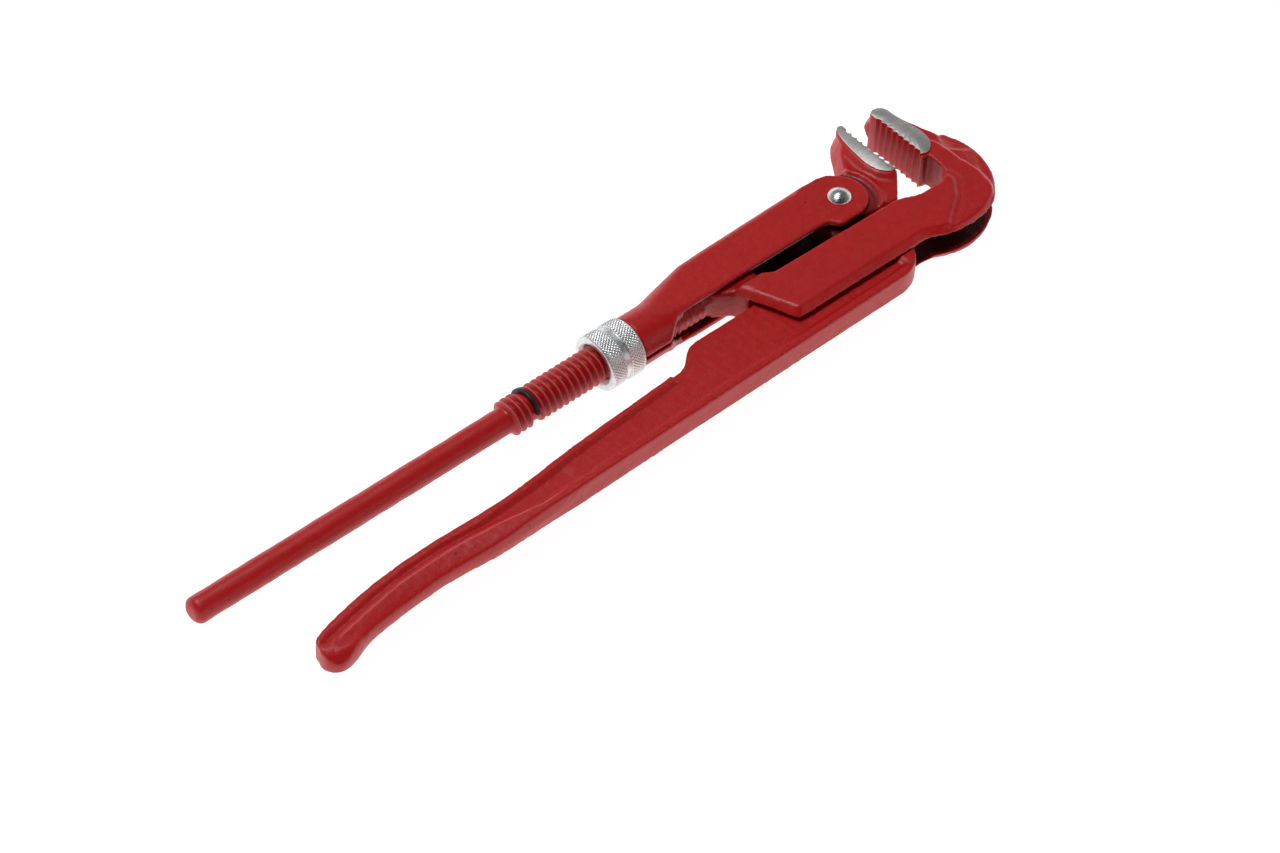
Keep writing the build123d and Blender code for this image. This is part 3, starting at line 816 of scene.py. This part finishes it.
for x in np.arange(NUT_FRONT - 0.1, NUT_BACK + 1.3, -0.28):
    phase = (x - THREAD_START) / THREAD_PITCH - (nut_angles - math.pi / 2) / (2 * math.pi)
    groove = (0.5 + 0.5 * np.cos(2 * math.pi * phase)) ** 0.7
    rows.append(around(x, NUT_BORE_R + NUT_GROOVE * groove, nut_angles))
for past, radius in ((1.1, 6.75), (0.35, 7.25), (0.05, 7.55), (0, 7.75), (0, 8.4)):
    rows.append(around(NUT_BACK + past, radius, nut_angles))
nut = lattice(rows, True, True)
nut.set_sharp_from_angle(angle=math.radians(48))
finish_piece(nut, "knurled_nut", zinc_plate("zinc_plate"), "nut", ["adjusting_nut"])


# ---------------------------------------------------------------- sleeve and rivet
def sleeve_hidden(p):
    """Where painted shade darkens the enamel: everything inside the tube and between the fork's cheeks."""
    x, y, z = p.T
    tube = ease((7.7 - np.hypot(y, z)) / 0.4) * (x < 30)
    spine = np.interp(x, (26, 38, 94), (6.0, 10.4, 11.5))
    fork = ease((6.75 - np.abs(z)) / 0.25) * ease((spine - y) / 0.3) * (x >= 30) * ease((y + 5.4) / 0.8)
    return 0.9 * np.maximum(tube * (x > 8.2), fork)


def soften_sleeve(p):
    """The drawn shoulder between tube and fork, away from every cut edge."""
    x, y, z = p.T
    return ease((x - 11) / 4) * ease((47 - x) / 6) * ease((y + 1.5) / 3)


sleeve = forging(
    "sleeve_pressing", "sleeve", 0.4, 4, 0.02, 11, local=soften_sleeve, painted_shade=sleeve_hidden
)
finish_piece(sleeve, "sleeve_pressing", paint, "sleeve", ["sleeve"])

RIVET_R, CHEEK_OUT = 3.0, 8.5
rivet_angles = np.linspace(0, 2 * math.pi, 64, endpoint=False)
dome = [
    (0.02, 2.1), (0.35, 2.09), (0.75, 2.02), (1.2, 1.93), (1.75, 1.74), (2.3, 1.47),
    (2.85, 1.12), (3.35, 0.74), (3.72, 0.42), (3.93, 0.2), (4.0, 0.02),
]
profile = [(r, CHEEK_OUT + h) for r, h in dome] + [(3.9, CHEEK_OUT - 0.08), (RIVET_R, CHEEK_OUT - 0.1)]
profile += [(r, -h) for r, h in profile[::-1]]
rows = []
for r, h in profile:
    dented = r * (1 + 0.018 * np.sin(3 * rivet_angles + h) * (r > 0.5) * (r < 3.9))
    x, y = PIVOT_X + dented * np.cos(rivet_angles), dented * np.sin(rivet_angles)
    rows.append(np.stack([x, y, np.full(len(x), h)], 1))
rivet = lattice(rows, False, True, (0, len(rows) - 1))
rivet.set_sharp_from_angle(angle=math.radians(55))
rivet_steel = polished_steel("polished_steel")
finish_piece(rivet, "domed_rivet", rivet_steel, "sleeve", ["jaw_rivet"])

# ---------------------------------------------------------------- lever leg
INNER_LINE = (
    (-146, -35.9), (-144.4, -35.4), (-124.4, -31.6), (-109.4, -29.8), (-94.4, -29.4),
    (-79.4, -30.4), (-59.4, -29.2), (-44.4, -27.7), (0, -24.8),
)
CREST_LINE = (
    (-146, -39.4), (-144.4, -39), (-129.4, -36.1), (-114.4, -33.7), (-99.4, -33.1), (-89.4, -33.3),
    (-74.4, -34.6), (-59.4, -36.9), (-49.4, -36.4), (-30, -35.6), (0, -35.1),
)
LEVER_HALF = 4.4  # half thickness of the handle
WEB_TOP, FLANGE_RISE = 3.05, 1.35
VALLEY_TOP, PAD_TOP, SEAT_RIM_TOP, SEAT_TOP = 5.5, 7.4, 6.95, 6.1
SEAT_R, SEAT_RIM_R = 13.4, 14.25
JAW_FACE_X, JAW_TIP_X = 120.9, 122.3
TIP_TOP = [
    (-149.9, -37.6), (-147.3, -40.0), (-144.2, -41.5), (-141.2, -42.4), (-136.5, -42.0), (-130.0, -40.5),
    (-118.0, -38.0), (-118.0, -20.0), (-152.0, -20.0),
]


def along_line(x, line):
    return np.interp(x, [a for a, _ in line], [b for _, b in line])


def shape_lever(p):
    x, y, z = p.T.copy()
    tall = np.abs(z)
    # Handle: groove beside the inner flange, web rising to the outer flange's crest.
    inner, crest = along_line(x, INNER_LINE), along_line(x, CREST_LINE)
    rise = np.interp(x, (-100, -60), (3.2, 1.6))
    fall = np.interp(x, (-125, -100, -75, -52, -44), (1.0, 0.9, 0.45, 0.3, 0.0))
    web = WEB_TOP + FLANGE_RISE * (1 - ease((inner - y) / 1.1))
    climb = WEB_TOP + FLANGE_RISE * np.clip(1 - (y - crest) / rise, 0, 1) ** 1.4
    beyond = np.maximum(crest - y, 0)
    outer = LEVER_HALF - fall * (0.20 * beyond + 0.020 * beyond**2)
    handle = np.where(y > crest, np.maximum(web, climb), outer)
    handle = np.where(y > inner, LEVER_HALF, handle)
    # Its tip: the recess ends in a low rough sill, and the end slopes off in a full round.
    past = -signed_distance(x, y, TIP_TOP)
    sill = mix(handle, 4.1, ease(1 + past / 0.8))
    slope = np.where(z > 0, 0.16 * past + 0.14 * past**2, 0.06 * past**2)
    end = np.where(past > 0, np.maximum(4.1 - slope, np.where(z > 0, 1.5, 3.0)), sill)
    end = np.where(y > inner, LEVER_HALF, end)
    end = mix(end, 4.3, ease((-146.9 - x) / 0.8) * (past < 0))
    handle = mix(handle, end, ease((-134.0 - x) / 5))
    use = ease((-42 - x) / 5)
    tall = np.where(tall > 0.4, mix(tall, np.minimum(handle, LEVER_HALF), use), tall)
    z = np.sign(z) * tall
    # Its long edges are full rounds.
    y = y + ease((-44 - x) / 20) * np.where(y < crest, 1, 0) * 0.04 * z**2
    # The flange widens into a pad at its upper end, beside a longer recess.
    pocket = ease((x - 84) / 3) * ease((98.5 - x) / 2) * ease((y + 33.6) / 0.6) * ease((-24 - y) / 2)
    sunk = np.sign(z) * np.minimum(np.abs(z), LEVER_HALF - 1.2 * pocket)
    z = np.where((np.abs(z) > 2.5) & (x > 82) & (x < 100), sunk, z)
    # Lower jaw: valley round the ground face, and the rim round the fork's seat.
    reach = np.hypot(x - PIVOT_X, y)
    off_pad = -signed_distance(x, y, LEVER_PAD)
    top = VALLEY_TOP + (PAD_TOP - VALLEY_TOP) * (1 - ease(off_pad / 2.6))
    rim = VALLEY_TOP + (SEAT_RIM_TOP - VALLEY_TOP) * np.exp(-(((reach - SEAT_RIM_R) / 0.95) ** 2))
    seat = SEAT_TOP - 0.6 * ease((reach - 10.5) / 1.0)
    top = np.where(reach > SEAT_R, np.maximum(top, rim), seat)
    jaw = (x > 104) & (y > -11)
    z = np.where(jaw, np.sign(z) * np.minimum(np.abs(z), top), z)
    face_x = np.where((y > -1.0) & (y < 23.4), JAW_FACE_X, JAW_TIP_X)
    x = np.minimum(x, face_x)
    return np.stack([x, y, z], 1)


def lever_hidden(p):
    """Where painted shade darkens the enamel: the neck inside the hook's slot, the floor of the fork's seat
    and what lies under the fork.
    """
    x, y, z = p.T
    reach = np.hypot(x - PIVOT_X, y)
    seat = ease((13.3 - reach) / 0.5) * ease((7.0 - np.abs(z)) / 0.4) * 0.6
    neck = ease((x - 56) / 3) * ease((105 - x) / 5) * ease((y + 16.5) / 1.5) * (np.abs(z) < 5.6)
    return np.clip(np.maximum(seat, 0.9 * neck), 0, 1)


def lever_crest_highlight(p):
    """A painted highlight: the soft light line along the crest of the handle's outer flange."""
    x, y, z = p.T
    crest = along_line(x, CREST_LINE)
    return 0.3 * np.exp(-(((y - crest) / 0.45) ** 2)) * (z > 2) * ease((-48 - x) / 8) * ease((x + 143) / 4)


def lever_grain(p):
    """A light touch of extra smoothing along the handle."""
    return 0.2 * ease((-46 - p[:, 0]) / 6)


lever = forging(
    "lever_forging", "lever_leg", 0.42, 6, 0.03, 7, shape_lever, lever_grain, lever_hidden, lever_crest_highlight
)
finish_piece(lever, "lever_forging", paint, "lever", ["lever_leg"])
finish_piece(prism(LEVER_PAD, -7.66, 7.66, 0.08), "lever_teeth", paint, "lever")
